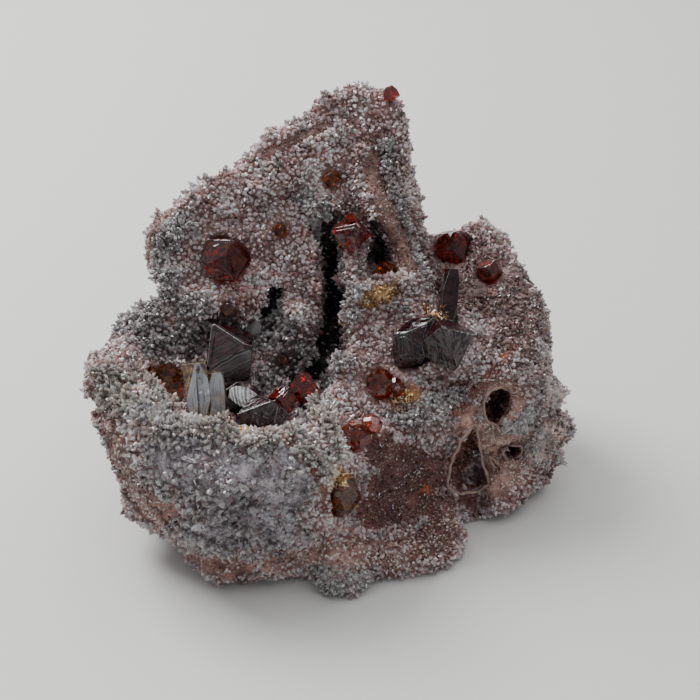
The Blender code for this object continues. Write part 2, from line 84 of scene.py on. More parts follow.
def skin_of(source):
    """A fine, even skin over a solid, with its facets rubbed down."""
    shape = bmesh.new()
    shape.from_mesh(source.data)
    bmesh.ops.remove_doubles(shape, verts=shape.verts, dist=1e-6)
    welded = bpy.data.meshes.new("welded")
    shape.to_mesh(welded)
    shape.free()
    model = new_object(welded, "model")
    grid = model.modifiers.new("grid", "REMESH")
    grid.mode = "VOXEL"
    grid.voxel_size = GRID * MM
    rub = model.modifiers.new("rub", "SMOOTH")
    rub.factor = 0.5
    rub.iterations = RUBS
    mesh = settled(model)
    bpy.data.objects.remove(model)
    return mesh


skin = skin_of(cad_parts["druzy_quartz_matrix"])
places = read(skin) / MM - CENTRE
normals = read(skin, "normal")

# What grows where: each ground is a set of lines of balls, the line's places and the balls' radius
# in millimetres of the layout. A ground is full near its lines and fades out at the radius.
GROUNDS = {
    "boulder": [
        ([(-31, -27, 30), (-22, -30, 28), (-14, -29, 27), (-16, -31, 18), (-25, -32, 17)], 10),
    ],
    "rim": [
        ([(-43.6, -14, 36.5), (-39.4, -18.3, 36.4), (-35.4, -21.3, 35.3), (-30.8, -22, 35)], 5),
        ([(-30.8, -22, 35), (-24, -24.5, 35), (-18.4, -25.5, 35), (-12, -24, 33.4)], 2.6),
        ([(-9.3, -26, 30.8), (-6, -26.5, 28), (-4.5, -28, 22), (-4.6, -28.5, 16)], 2.2),
        ([(-5.8, -12.6, 30.4), (-3.8, -19, 31), (-1.5, -23, 26)], 2.8),
    ],
    "fringe": [
        ([(7.2, 28.3, 64), (7.6, 24.7, 60), (9.4, 21.5, 55.4), (11, 19, 51), (14.8, 12, 45)], 1.7),
        ([(-7, 23.6, 60), (-7, 20.7, 57), (-6, 20, 53)], 3),
        ([(1, 6, 43.5), (0, 2, 40), (-2, -2, 37), (-5.5, -7, 32), (-7.4, -10, 29.5)], 2.2),
        ([(4.9, -11.5, 28), (10.7, -11.5, 27.5), (15.7, -10.2, 27.5), (20.6, -8, 28.5)], 2.6),
        ([(-41.7, 5.1, 40), (-36.6, 5, 41), (-31.6, 5, 41.5), (-28, 4.8, 41.5)], 2.2),
        ([(-33.3, 15.9, 53.8), (-37.5, 13.6, 49.9), (-38.1, 11.2, 47.4), (-36.1, 8.4, 43.8),
          (-34.5, 6, 41)], 2),
        ([(-4, -33, 3.6), (-1, -33.7, 1.5), (3, -32, 2.5)], 2.8),
        ([(34.8, -7, 23.3), (33.9, -7.4, 20.5), (39.5, -2, 20)], 2.8),
    ],
    "smoky": [
        ([(-43, 2, 38.5), (-37.5, 0, 35.4), (-33.6, 0, 34), (-30, 2.5, 35)], 4.5),
        ([(-26, 4.5, 36.8), (-19.3, 8, 32.8), (-14, 6.4, 34), (-9, 4.5, 33)], 5),
        ([(-12, 2, 29.8), (-15.8, -4, 29.6), (-10, -8, 28), (-8, -13, 28)], 5),
    ],
    # The cleft: a real slot, and its near-black tones are painted shade
    "cleft_painted_shade": [
        ([(-3.4, 18, 50.9), (-3.1, 21.5, 41.8), (-2.9, 18.9, 37.6), (-3.3, 19, 31.9)], 5.4),
        ([(-4.1, 14.3, 30.7), (-5.7, 8.8, 28.4), (-7.7, 4.5, 26.6), (-10.1, 1.2, 26.7)], 5.4),
        ([(5.8, 17.5, 52), (7, 21.7, 45.6), (7, 21.7, 40)], 3.4),
        ([(-16.2, 10.8, 35.9), (-15.2, 12.5, 38)], 3.6),
    ],
    "bare": [
        ([(5.4, 27.5, 63.4), (5, 23.8, 61), (6.5, 19.5, 58), (8, 16.5, 54.5), (10.5, 14.5, 50),
          (13, 13, 46.2)], 4.2),
        ([(-17, 25.2, 63.6), (-13, 27, 65), (-9.4, 28.1, 66.3), (-4, 29.8, 68.2)], 1.6),
        ([(-36, 18, 54), (-40, 14.5, 50), (-40.5, 12, 45), (-38.5, 9, 41)], 3.6),
        ([(-3, 17, 51.6), (-2, 15.3, 48.7), (-1.5, 12, 45)], 1.6),
    ],
    "septa": [
        ([(26.5, -10, 21), (28.5, -10, 17), (28, -11, 12), (30.5, -9, 9.5), (25, -13.5, 7)], 6),
        ([(33, -6.5, 22), (33, -6, 27), (29, -7.5, 31.5), (25, -10, 30)], 3.6),
        ([(18.2, -15.5, 13), (19, -14, 18), (21.5, -12.5, 23), (24, -10.5, 26.5)], 3.0),
        ([(33, -7.5, 17), (36, -6, 14), (34, -7.5, 10), (31, -9, 6)], 5),
    ],
    "crust": [
        ([(-24, -25.5, 36.4), (-17, -26.5, 35), (-11.9, -26.5, 33), (-8.3, -27.5, 30), (-5.9, -29, 25)], 1.1),
        ([(-43, -21, 29), (-42.5, -22, 21), (-39, -26, 15), (-35, -29, 20)], 5.5),
        ([(-33, -26, 6), (-27, -31, 6), (-21, -32, 6)], 4.5),
        ([(-14.4, -31.8, 6), (-7, -30.5, 8), (2, -30, 7), (9, -27.5, 5.5), (16, -24.5, 4.5),
          (20, -20, 6)], 4.2),
        ([(20.6, -10.5, 27), (23.5, -8.5, 29), (28, -6, 32), (31.5, -2, 35.5)], 1.3),
        ([(41, -3.7, 24), (40, -2, 17.3), (42.9, -2.6, 15.3), (39, -4.1, 11), (36, -8, 8)], 4),
        ([(36, 5, 35.4), (39, 11, 33), (40, 15, 28)], 3.4),
    ],
    "scoop": [
        ([(5, -28.5, 6.5), (10, -26.5, 6), (15, -24, 5.5), (18, -21, 7), (20, -17.5, 9)], 4.2),
        ([(6, -16, 21.5), (12, -13, 16.4), (6, -16.5, 11.6), (14, -16.6, 9), (4, -20.6, 9),
          (17, -12.5, 13)], 5.5),
    ],
    "cell": [
        ([(24.6, -11, 5)], 4),
    ],
    "dusky": [
        ([(21, 13, 41), (29, 11, 38.5), (36, 9, 34), (33, 2, 35)], 8),
        ([(17, 20, 42), (26, 20, 40), (34, 16, 37)], 7),
    ],
    "spur": [
        ([(41, -3.7, 24), (40, -2, 17.3), (42.9, -2.6, 15.3), (39, -4.1, 11)], 4),
        ([(37, 4, 32), (38.5, -2, 27)], 3),
    ],
    "flank": [
        ([(-14.4, -31.8, 6), (-7, -30.5, 8), (2, -30, 7), (9, -27.5, 5.5)], 3.6),
    ],
    "broken": [],  # worked out below, from the way that the stone faces
    "red": [
        ([(-22.4, -23.7, 36.1), (-11.9, -24.6, 33.4), (-9.3, -26.6, 30.8), (-6.7, -28.6, 27.8),
          (-4.9, -29.6, 24.3), (-4, -29.9, 18.9)], 1.5),
        ([(-44.7, -9.5, 39), (-42.8, -13.1, 37), (-40.4, -17.2, 37.4), (-38.8, -18.6, 36.4)], 1.3),
        ([(20.6, -10.5, 26.4), (25.5, -6.8, 30.4), (31.9, -1.4, 35.1)], 1.6),
    ],
    "gold": [
        ([(-3, 17, 51.6), (-2, 15.3, 48.7)], 1.2),
        ([(3.6, 3.6, 43), (5.9, 4.4, 44), (8.6, 5.4, 44)], 3.2),
        ([(9.6, -9.3, 28), (12, -8.4, 29)], 3.0),
        ([(-18.4, -25.4, 35.6)], 1.0),
        ([(-37, -13, 37), (-33, -14.5, 36.5)], 2.4),
    ],
    "orange": [
        ([(15.2, -15.5, 10.7)], 1.2), ([(19.2, -11.2, 19.9)], 1.3), ([(-4.6, -29.7, 10.9)], 1.0),
        ([(28.4, 12.6, 38.8)], 0.9), ([(23.9, 8.5, 38.8)], 0.8), ([(30.2, -3, 34.9)], 1.1),
        ([(-2.5, -9.4, 29.2)], 0.8), ([(-22.5, 18.2, 54)], 1.1),
    ],
    "white": [
        ([(-4, -33, 3.6), (-1, -33.7, 1.5), (2, -32.4, 3)], 2.2),
        ([(34.8, -7.2, 23.3), (33.9, -7.6, 21)], 1.5),
        ([(-39.1, -21.2, 35.9), (-34, -22, 35.4)], 2.4),
        ([(-39.5, -20.5, 30), (-34.2, -27, 27)], 1.8),
    ],
}


def weight(lines, where):
    """How much of a ground there is at each place, from 0 to 1."""
    total = np.zeros(len(where))
    for line, radius in lines:
        points = np.array(line if len(line) > 1 else line * 2, float)
        for start, end in zip(points[:-1], points[1:]):
            run = end - start
            share = np.clip((where - start) @ run / max(run @ run, 1e-9), 0, 1)
            far = np.linalg.norm(where - start - share[:, None] * run, axis=1)
            total = np.maximum(total, np.clip(2 * (1 - far / radius), 0, 1))
    return total


# The cells of the broken end: their rims, and the way that they run in from them
CELL_RUN = np.array((0.0, 0.84, -0.54))
CELL_RIMS = [
    [(24.7, -11.7, 24.8), (21.9, -13.9, 22.6), (19.6, -16.1, 18.0), (19.2, -17.0, 12.7), (22.0, -15.6, 9.5),
     (25.8, -13.2, 8.0), (28.3, -11.4, 8.5), (26.3, -11.9, 14.9)],
    [(25.9, -10.3, 29.2), (27.2, -9.1, 30.8), (29.9, -7.4, 30.3), (32.1, -6.1, 28.5), (31.7, -6.9, 24.8),
     (29.6, -8.8, 21.7), (26.5, -10.5, 24.5)],
    [(30.6, -9.0, 15.0), (31.8, -8.0, 15.8), (34.5, -6.4, 14.3), (35.2, -6.1, 12.4), (33.8, -7.3, 11.3),
     (31.8, -8.5, 12.2)],
    [(27.8, -10.8, 15.6), (29.6, -9.9, 13.1), (30.9, -9.5, 9.5), (29.1, -10.6, 11.0)],
]
CELL_WIDER = 1.08  # how much wider than its rim a cell's inside is
CELL_START = 0.9  # millimetres behind the rim at which a cell's dark inside begins
CELL_DEEP = 12.0  # and its end


def inside_cells(where):
    """1 at places in the cells and 0 elsewhere."""
    across, down = np.array((1.0, 0, 0)), np.cross(CELL_RUN, (1.0, 0, 0))
    within = np.zeros(len(where), bool)
    for rim in CELL_RIMS:
        rim = np.array(rim)
        middle = rim.mean(axis=0)
        ring = CELL_WIDER * (rim - middle) @ np.stack([across, down], axis=1)
        x, y = (where - middle) @ across, (where - middle) @ down
        odd = np.zeros(len(where), bool)
        for (x1, y1), (x2, y2) in zip(ring, np.roll(ring, -1, axis=0)):
            crosses = (y1 > y) != (y2 > y)
            odd ^= crosses & (x < (x2 - x1) * (y - y1) / (y2 - y1 + 1e-12) + x1)
        depth = (where - middle) @ CELL_RUN
        within |= odd & (depth > CELL_START) & (depth < CELL_DEEP)
    return within.astype(float)


def lumpy(where, size, seed):
    """Smooth noise from -0.5 to 0.5 with lumps of a size in millimetres."""
    shift = Vector((seed * 17.3, seed * 5.1, seed * 9.7))
    return np.array([0.5 * noise.noise(Vector(p) / size + shift) for p in where])


BACK = np.array((0.0, 0.95, -0.31))  # the way in which the specimen was broken off its wall
BROKEN_FACING = (1.7, -0.25)  # how the broken ground grows with the way it faces: its slope and its start
BROKEN_PATCHES = (8.0, 2.2)  # size in millimetres of its patches, and how strongly they part it
FLAT_FOOT = 1.0  # millimetres at the bottom that keep the solid's flat rest face
grounds = {kind: weight(lines, places) for kind, lines in GROUNDS.items()}
grounds["cell"] = np.maximum(grounds["cell"], inside_cells(places))
facing = BROKEN_FACING[0] * (normals @ BACK) + BROKEN_FACING[1]
grounds["broken"] = np.clip(facing + BROKEN_PATCHES[1] * lumpy(places, BROKEN_PATCHES[0], 9), 0, 1)
smooth = np.clip(grounds["bare"] + grounds["scoop"] + grounds["septa"], 0, 1)
push = SWELL[1] * lumpy(places, SWELL[0], 1) + GRAIN[1] * lumpy(places, GRAIN[0], 2)
push *= 1 - CALM * smooth
push[places[:, 2] < FLAT_FOOT] = 0
places = places + normals * push[:, None]
places[:, 2] = np.maximum(places[:, 2], 0.0)
skin.vertices.foreach_set("co", ((places + CENTRE) * MM).astype(np.float32).ravel())
skin.update()
normals = read(skin, "normal")
for kind, amount in grounds.items():
    layer = skin.attributes.new(kind, "FLOAT", "POINT")
    layer.data.foreach_set("value", amount.astype(np.float32))
skin.shade_smooth()
rock = new_object(skin, "quartz_rock")


def new_material(name):
    """A material with its node tree and its shader."""
    material = bpy.data.materials.new(name)
    material.use_nodes = True
    return material, material.node_tree, material.node_tree.nodes["Principled BSDF"]


def add(tree, kind, settings=(), links=()):
    """A node with its settings and its links, each a pair of an input's or setting's name and a value."""
    node = tree.nodes.new(kind)
    for name, value in settings:
        if isinstance(name, int) or name in node.inputs:
            node.inputs[name].default_value = value
        else:
            setattr(node, name, value)
    for name, socket in links:
        tree.links.new(socket, node.inputs[name])
    return node


# Massive quartz, stained brown to red by iron: dull where it broke, a little waxy where it is smooth
stone, tree, shader = new_material("iron_stained_quartz")
place = add(tree, "ShaderNodeNewGeometry")
mottle = add(tree, "ShaderNodeTexNoise", [("Scale", 1 / (2.5 * MM)), ("Detail", 4.0)],
             [("Vector", place.outputs["Position"])])
spread = add(tree, "ShaderNodeMapRange", [("From Min", 0.34), ("From Max", 0.66)],
             [("Value", mottle.outputs["Fac"])])
base = add(tree, "ShaderNodeMix", [("data_type", "RGBA"), (6, linear("#5f433f")), (7, linear("#937a75"))],
           [(0, spread.outputs[0])])
colour = base.outputs[2]
# For each ground: its darkest and its lightest tone
ROCK_TONES = {
    "boulder": ("#615b65", "#bbb3b9"), "rim": ("#947d77", "#dccdc7"), "fringe": ("#74605c", "#b0a09c"),
    # the cleft's near-black rock tones are painted shade
    "smoky": ("#2a2022", "#594b4b"), "cleft_painted_shade": ("#080505", "#1b1212"), "bare": ("#614039", "#8f6f68"),
    "septa": ("#69463e", "#bd968a"), "crust": ("#5a3832", "#8f6359"), "scoop": ("#482421", "#744640"),
    "cell": ("#46241f", "#7e5148"), "dusky": ("#5a3f3c", "#8a706c"), "spur": ("#a58078", "#f0e0d9"),
    "flank": ("#6e463e", "#b08a80"), "broken": ("#4d3531", "#8c6d66"), "red": ("#663a33", "#986459"),
    "gold": ("#5b310f", "#a8743a"), "orange": ("#7a2f10", "#c4622a"), "white": ("#b5a8a4", "#efe9e6"),
}
for kind, (dark, light) in ROCK_TONES.items():
    amount = add(tree, "ShaderNodeAttribute", [("attribute_name", kind)])
    shade = add(tree, "ShaderNodeMix", [("data_type", "RGBA"), (6, linear(dark)), (7, linear(light))],
                [(0, spread.outputs[0])])
    mix = add(tree, "ShaderNodeMix", [("data_type", "RGBA")],
              [(0, amount.outputs["Fac"]), (6, colour), (7, shade.outputs[2])])
    colour = mix.outputs[2]
clouds = add(tree, "ShaderNodeTexNoise", [("Scale", 1 / (7 * MM)), ("Detail", 2.0)],
             [("Vector", place.outputs["Position"])])
depths = add(tree, "ShaderNodeMapRange",
             [("From Min", 0.35), ("From Max", 0.65), ("To Min", 0.6), ("To Max", 1.35)],
             [("Value", clouds.outputs["Fac"])])
clouded = add(tree, "ShaderNodeVectorMath", [("operation", "SCALE")],
              [(0, colour), ("Scale", depths.outputs[0])])
tree.links.new(clouded.outputs[0], shader.inputs["Base Color"])
glassy_part = add(tree, "ShaderNodeAttribute", [("attribute_name", "boulder")])
dull = add(tree, "ShaderNodeMapRange", [("To Min", 0.5), ("To Max", 0.2)],
           [("Value", glassy_part.outputs["Fac"])])
tree.links.new(dull.outputs[0], shader.inputs["Roughness"])
grit = add(tree, "ShaderNodeTexNoise", [("Scale", 1 / (0.7 * MM)), ("Detail", 5.0)],
           [("Vector", place.outputs["Position"])])
bump = add(tree, "ShaderNodeBump", [("Strength", 0.9), ("Distance", 0.4 * MM)],
           [("Height", grit.outputs["Fac"])])
tree.links.new(bump.outputs[0], shader.inputs["Normal"])
rock.data.materials.append(stone)
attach(rock, "root")
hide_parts("druzy_quartz_matrix")


# The druse: six-sided quartz points about a millimetre across, grown side by side over nearly all
# of the rock. They are half clear, so that the rock tints them and darkens their feet; their tones
# also carry painted light at the tips, painted shade at the feet and painted white glints on some
# faces. They are grey on the boulder, white on the rims, and small in the scoop and the cells.

# For each ground: spacing, radius, height over the rock, share of the rock covered, and two tones
DRUSE = {
    "wall": (0.90, (0.34, 0.64), (0.45, 1.15), 1.0, ("#92706e", "#efe0e1")),
    "boulder": (0.70, (0.24, 0.50), (0.12, 0.55), 0.95, ("#83797f", "#d4ccd1")),
    "rim": (0.95, (0.34, 0.65), (0.4, 1.3), 1.0, ("#c2afa6", "#fffaf5")),
    "fringe": (0.85, (0.30, 0.55), (0.6, 1.4), 1.0, ("#96827f", "#f3eeec")),
    "smoky": (1.0, (0.34, 0.62), (0.5, 1.3), 1.0, ("#483a3b", "#c6bcbb")),
    # the cleft's near-black druse tones are painted shade
    "cleft_painted_shade": (0.9, (0.30, 0.50), (0.3, 0.8), 0.9, ("#0c0808", "#3a2d2c")),
    "bare": (0.62, (0.20, 0.36), (0.15, 0.42), 0.9, ("#5a3b36", "#93766f")),
    "septa": (0.62, (0.20, 0.36), (0.15, 0.45), 0.8, ("#996f64", "#e6cfc6")),
    "crust": (0.78, (0.26, 0.48), (0.2, 0.66), 0.66, ("#80605a", "#dccbc6")),
    "scoop": (0.62, (0.22, 0.40), (0.2, 0.5), 0.97, ("#53302d", "#9b7a76")),
    "cell": (0.74, (0.24, 0.40), (0.2, 0.5), 0.95, ("#64352e", "#c89d92")),
    "dusky": (0.84, (0.30, 0.56), (0.4, 1.0), 1.0, ("#553733", "#8e7a76")),
    "spur": (0.80, (0.28, 0.50), (0.2, 0.9), 0.85, ("#cba79d", "#fffaf6")),
    "flank": (0.80, (0.26, 0.50), (0.15, 0.7), 0.62, ("#b5877e", "#fff4ee")),
    "broken": (1.0, (0.26, 0.50), (0.2, 0.65), 0.65, ("#5d443f", "#ab958f")),
    "red": (0.62, (0.22, 0.40), (0.15, 0.5), 0.75, ("#743f37", "#c39489")),
    "gold": (0.60, (0.22, 0.42), (0.1, 0.45), 0.9, ("#6a3f1c", "#e6c49a")),
    "orange": (0.60, (0.22, 0.40), (0.1, 0.35), 0.9, ("#7a2c10", "#e08040")),
    "white": (0.80, (0.30, 0.55), (0.3, 1.2), 1.0, ("#c9bfbb", "#ffffff")),
}
# Sprays of longer crystals: their spacing, how many in one, radius, length, spread, whether they
# have stems, and two tones
SPRAYS = {
    "boulder": (2.9, 5, (0.32, 0.68), (0.9, 2.4), 1.2, True, ("#c8c0c6", "#fffdfd")),
    "rim": (2.4, 12, (0.20, 0.50), (1.3, 3.2), 0.95, True, ("#e8d9cf", "#fffaf3")),
    "fringe": (2.0, 8, (0.26, 0.48), (1.2, 2.5), 0.75, False, ("#ada09e", "#fbf8f7")),
    "smoky": (3.0, 7, (0.28, 0.55), (1.0, 2.2), 0.75, False, ("#8a7f7f", "#f4f0f0")),
    "wall": (4.8, 7, (0.26, 0.50), (0.9, 1.9), 0.75, False, ("#a79591", "#fbf7f5")),
    "white": (1.8, 8, (0.28, 0.55), (1.0, 2.2), 0.8, True, ("#e6dfdc", "#ffffff")),
    "spur": (3.0, 6, (0.26, 0.45), (0.9, 1.8), 0.8, False, ("#c2b0aa", "#fbf7f5")),
}
TIP = 1.35  # height of a tip as a share of its radius
ROOT = 1.6  # millimetres that a point reaches into the rock
LEAN = 0.45  # how far points lean from square to the rock
UNEVEN = 0.2  # how uneven a point's six sides are, and how far off its middle the tip is
WAIST = 0.9  # width of a stem's foot as a share of its top's
BRIGHTEST = 0.9  # the lightest that a face may be, and the tone of a face with a painted glint
SIZES = (1.6, 2.4)  # the beta distribution of the druse's sizes: more small ones than large
SPRAY_SIZES = (1.6, 2.0)  # and that of the sprays' crystals
TALL_WITH_SIZE = 0.6  # how much of a point's height follows its size, the rest being chance
TIP_PAINTED_LIGHT = (1.35, 1.35, 1.35)  # painted light: how much lighter a point's tone is towards its tip
FOOT_PAINTED_SHADE = (0.45, 0.36, 0.35)  # painted shade between the crystals: how a point's tone darkens towards its foot, where the rock also shows through
FACE_PAINTED_SHADE = 0.28  # random painted light and shade: how far its faces differ in tone from each other
PAINTED_GLINTS = 0.05  # share of the faces painted white as painted glints
STAIN = (0.90, 0.74, 0.73, 1.0)  # what iron stains leave of a crystal's tone
STAIN_SIZE = 6.0  # millimetres across a stained patch
STAIN_EDGE = (4, 0.4)  # how sharply such a patch ends, and how rare the patches are
DRIFT_SIZE = 4.0  # millimetres over which the tone drifts
SCATTER = 0.30  # how far it differs from one crystal to the next
SHADE = 0.45  # how far patches of the druse differ in tone
SHADE_SIZE = 7.0  # millimetres across such a patch
TRIES = 4  # places tried on each face of the skin
FRAY = 0.35  # how far neighbouring grounds mix at their borders
STRENGTH = {"cell": 2.5, "red": 1.2, "gold": 1.6}  # grounds that win over their neighbours, and by how much
LEAST_Z = 0.25  # millimetres that the druse keeps off the ground
PIECE = 16000  # points joined in one mesh

chooser = np.random.default_rng(11)
corners = np.empty(len(skin.polygons) * 4, np.int32)
skin.polygons.foreach_get("vertices", corners)
corners = corners.reshape(-1, 4)


def tried(values, u, v):
    """Values at the corners of every face, read at a share of its width and height."""
    a, b, c, d = (values[corners[:, i]] for i in range(4))
    return (a * (1 - u) + b * u) * (1 - v) + (d * (1 - u) + c * u) * v


spots, ups, amounts = [], [], []
for _ in range(TRIES):
    u = chooser.random((len(corners), 1))
    v = chooser.random((len(corners), 1))
    spots.append(tried(places, u, v))
    ups.append(tried(normals, u, v))
    amounts.append(np.stack([tried(grounds[kind][:, None], u, v)[:, 0] for kind in GROUNDS], axis=1))
spots, ups, amounts = np.concatenate(spots), np.concatenate(ups), np.concatenate(amounts)
amounts += chooser.uniform(-FRAY, FRAY, amounts.shape)
for kind, strength in STRENGTH.items():
    amounts[:, list(GROUNDS).index(kind)] *= strength
names = list(GROUNDS) + ["wall"]
which = np.where(amounts.max(axis=1) > 0.5, amounts.argmax(axis=1), len(GROUNDS))
shuffled = chooser.permutation(len(spots))


def thinned(kind, spacing):
    """Places on one ground, one for each cube of the spacing."""
    mine = shuffled[(which[shuffled] == names.index(kind)) & (spots[shuffled][:, 2] > LEAST_Z)]
    cubes = np.floor(spots[mine] / spacing).astype(np.int64)
    _, first = np.unique(cubes, axis=0, return_index=True)
    return mine[np.sort(first)]


CLEAR = 0.5  # millimetres that the druse keeps from a sphalerite crystal
LOW = 3.5  # millimetres from one within which the druse is low
LOWEST = 0.35  # what share of its height it has right beside one
SPRAY_ROOM = 0.8  # share of that reach within which no spray grows
crystal_skins = []
for node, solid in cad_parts.items():
    if node.startswith("sphalerite"):
        shape = bmesh.new()
        shape.from_mesh(solid.data)
        crystal_skins.append(BVHTree.FromBMesh(shape))
        shape.free()


def room(where):
    """How far each place is from the nearest sphalerite, as a share of the low druse's reach."""
    share = np.ones(len(where))
    for tree in crystal_skins:
        for number, place in enumerate((where + CENTRE) * MM):
            found = tree.find_nearest(place, LOW * MM)
            if found[0] is not None:
                share[number] = min(share[number], found[3] / (LOW * MM))
    return share


def unit(vectors):
    """Vectors made one long."""
    return vectors / np.linalg.norm(vectors, axis=1, keepdims=True)


def points(name, where, up, radius, height, tint, stemmed, play):
    """Six-sided points as one mesh of closed shapes: a root, a stem or none, and a tip.

    play is how much random painted shade per face and how many painted white glints they have.
    """
    count = len(where)
    side = unit(np.cross(up, chooser.normal(size=(count, 3))))
    across = np.cross(up, side)
    turn = np.arange(6) * math.pi / 3
    wide = (radius[:, None] * chooser.uniform(1 - UNEVEN, 1 + UNEVEN, (count, 6)))[..., None]
    around = wide * (np.cos(turn)[:, None] * side[:, None] + np.sin(turn)[:, None] * across[:, None])
    ring = where[:, None] + up[:, None] * (height - TIP * radius)[:, None, None] + around
    top = where + up * height[:, None] + UNEVEN * radius[:, None] * chooser.normal(size=(count, 3))
    root = where - up * ROOT
    verts = [ring, top[:, None], root[:, None]]
    a = np.arange(6)
    b = (a + 1) % 6
    faces = [np.stack([a, b, 0 * a + 6], axis=1)]
    if stemmed:
        verts.append(where[:, None] + WAIST * around)
        faces += [np.stack(corner, axis=1) for corner in
                  ((b + 8, a + 8, 0 * a + 7), (a, a + 8, b), (b, a + 8, b + 8))]
    else:
        faces.append(np.stack([b, a, 0 * a + 7], axis=1))
    verts, faces = np.concatenate(verts, axis=1), np.concatenate(faces)
    each = verts.shape[1]
    # The tones carry painted light towards each tip and painted shade towards each foot
    light = np.array([(1.0, 1.0, 1.0)] * 6 + [TIP_PAINTED_LIGHT] + [FOOT_PAINTED_SHADE] * (each - 7))
    # random painted light and shade from face to face
    painted_face_shade = 1 + play * chooser.uniform(-FACE_PAINTED_SHADE, FACE_PAINTED_SHADE, (count, len(faces), 1, 1))
    tones = light[faces] * painted_face_shade * tint[:, None, None, :3]
    # painted glints: some faces set to the brightest tone
    tones[chooser.random((count, len(faces))) < PAINTED_GLINTS * play] = BRIGHTEST
    tones = np.concatenate([np.minimum(tones, BRIGHTEST), np.ones(tones.shape[:3] + (1,))], axis=3)
    verts = verts.reshape(-1, 3)
    verts[:, 2] = np.maximum(verts[:, 2], 0.0)
    faces = (faces[None] + each * np.arange(count)[:, None, None]).reshape(-1, 3)
    mesh = bpy.data.meshes.new(name)
    mesh.vertices.add(len(verts))
    mesh.vertices.foreach_set("co", ((verts + CENTRE) * MM).astype(np.float32).ravel())
    mesh.loops.add(len(faces) * 3)
    mesh.loops.foreach_set("vertex_index", faces.astype(np.int32).ravel())
    mesh.polygons.add(len(faces))
    mesh.polygons.foreach_set("loop_start", np.arange(0, len(faces) * 3, 3, dtype=np.int32))
    mesh.update(calc_edges=True)
    mesh.shade_flat()
    layer = mesh.attributes.new("tint", "FLOAT_COLOR", "CORNER")
    layer.data.foreach_set("color", tones.astype(np.float32).ravel())
    return mesh


def toned(tones, where, scatter):
    """A tone for each crystal, between two, drifting over the stone and differing from one to the next."""
    share = 0.5 + lumpy(where, DRIFT_SIZE, 3) + chooser.normal(0, scatter, len(where))
    share = np.clip(share, 0, 1)[:, None]
    tone = np.array(linear(tones[0])) * (1 - share) + np.array(linear(tones[1])) * share
    stained = np.clip(STAIN_EDGE[0] * lumpy(where, STAIN_SIZE, 5) - STAIN_EDGE[1], 0, 1)[:, None]
    shaded = 1 + SHADE * 2 * lumpy(where, SHADE_SIZE, 8)[:, None]
    return tone * (1 - stained + stained * np.array(STAIN)) * shaded


def crust_piece(mesh, material):
    """A piece of what grew on the rock."""
    crust = new_object(mesh, mesh.name)
    mesh.materials.append(material)
    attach(crust, "root")


# Druzy quartz, half clear and a little milky: it takes the tone of what it grew on, and its white flashes are
# painted glints in its tint
druse, tree, shader = new_material("druzy_quartz")
tint = add(tree, "ShaderNodeAttribute", [("attribute_name", "tint")])
tree.links.new(tint.outputs["Color"], shader.inputs["Base Color"])
shader.inputs["Roughness"].default_value = 0.10
shader.inputs["IOR"].default_value = 1.54
shader.inputs["Transmission Weight"].default_value = 0.35
shader.inputs["Subsurface Weight"].default_value = 0.3
shader.inputs["Subsurface Scale"].default_value = 0.5 * MM
shader.inputs["Subsurface Radius"].default_value = (1.0, 0.85, 0.8)

spot, lean, radii, heights, tints = [], [], [], [], []
for kind, (spacing, wide, tall, cover, tones) in DRUSE.items():
    mine = thinned(kind, spacing)
    mine = mine[chooser.random(len(mine)) < cover]
    size = chooser.beta(*SIZES, len(mine))
    spot.append(spots[mine])
    lean.append(unit(ups[mine] + LEAN * chooser.normal(size=(len(mine), 3))))
    radii.append(wide[0] + (wide[1] - wide[0]) * size)
    rise = TALL_WITH_SIZE * size + (1 - TALL_WITH_SIZE) * chooser.random(len(mine))
    heights.append(tall[0] + (tall[1] - tall[0]) * rise)
    tints.append(toned(tones, spots[mine], SCATTER))
spot, lean, radii, heights, tints = (np.concatenate(part) for part in (spot, lean, radii, heights, tints))
near = room(spot)
heights *= LOWEST + (1 - LOWEST) * near
order = chooser.permutation(len(spot))
order = order[near[order] > CLEAR / LOW]
for number, start in enumerate(range(0, len(order), PIECE)):
    mine = order[start:start + PIECE]
    name = f"quartz_druse_{number}"
    mesh = points(name, spot[mine], lean[mine], radii[mine], heights[mine], tints[mine], False, 1.0)
    crust_piece(mesh, druse)

# Rock crystal: the longer crystals are clearer, with smoother faces
clear, tree, shader = new_material("rock_crystal")
tint = add(tree, "ShaderNodeAttribute", [("attribute_name", "tint")])
tree.links.new(tint.outputs["Color"], shader.inputs["Base Color"])
shader.inputs["Roughness"].default_value = 0.06
shader.inputs["IOR"].default_value = 1.54
shader.inputs["Transmission Weight"].default_value = 0.68
for kind, (spacing, members, wide, tall, spread, stemmed, tones) in SPRAYS.items():
    hearts = thinned(kind, spacing)
    hearts = np.repeat(hearts[room(spots[hearts]) > SPRAY_ROOM], members)
    count = len(hearts)
    size = chooser.beta(*SPRAY_SIZES, count)
    up = unit(ups[hearts] + spread * chooser.normal(size=(count, 3)))
    radius = wide[0] + (wide[1] - wide[0]) * size
    height = tall[0] + (tall[1] - tall[0]) * chooser.random(count)
    tint = toned(tones, spots[hearts], SCATTER)
    mesh = points(f"quartz_sprays_{kind}", spots[hearts], up, radius, height, tint, stemmed, 0.6)
    crust_piece(mesh, clear)


# The sphalerites: crystals of zinc sulphide, grown singly or in groups and seated in the druse. Each
# is its solid's own shape, with its edges eased, plates of growth raised on its larger faces, and fine
# growth lines ruled across it. Some faces and the eased edges are painted silver, a painted
# reflection and painted highlight, partly backed by a metallic share.

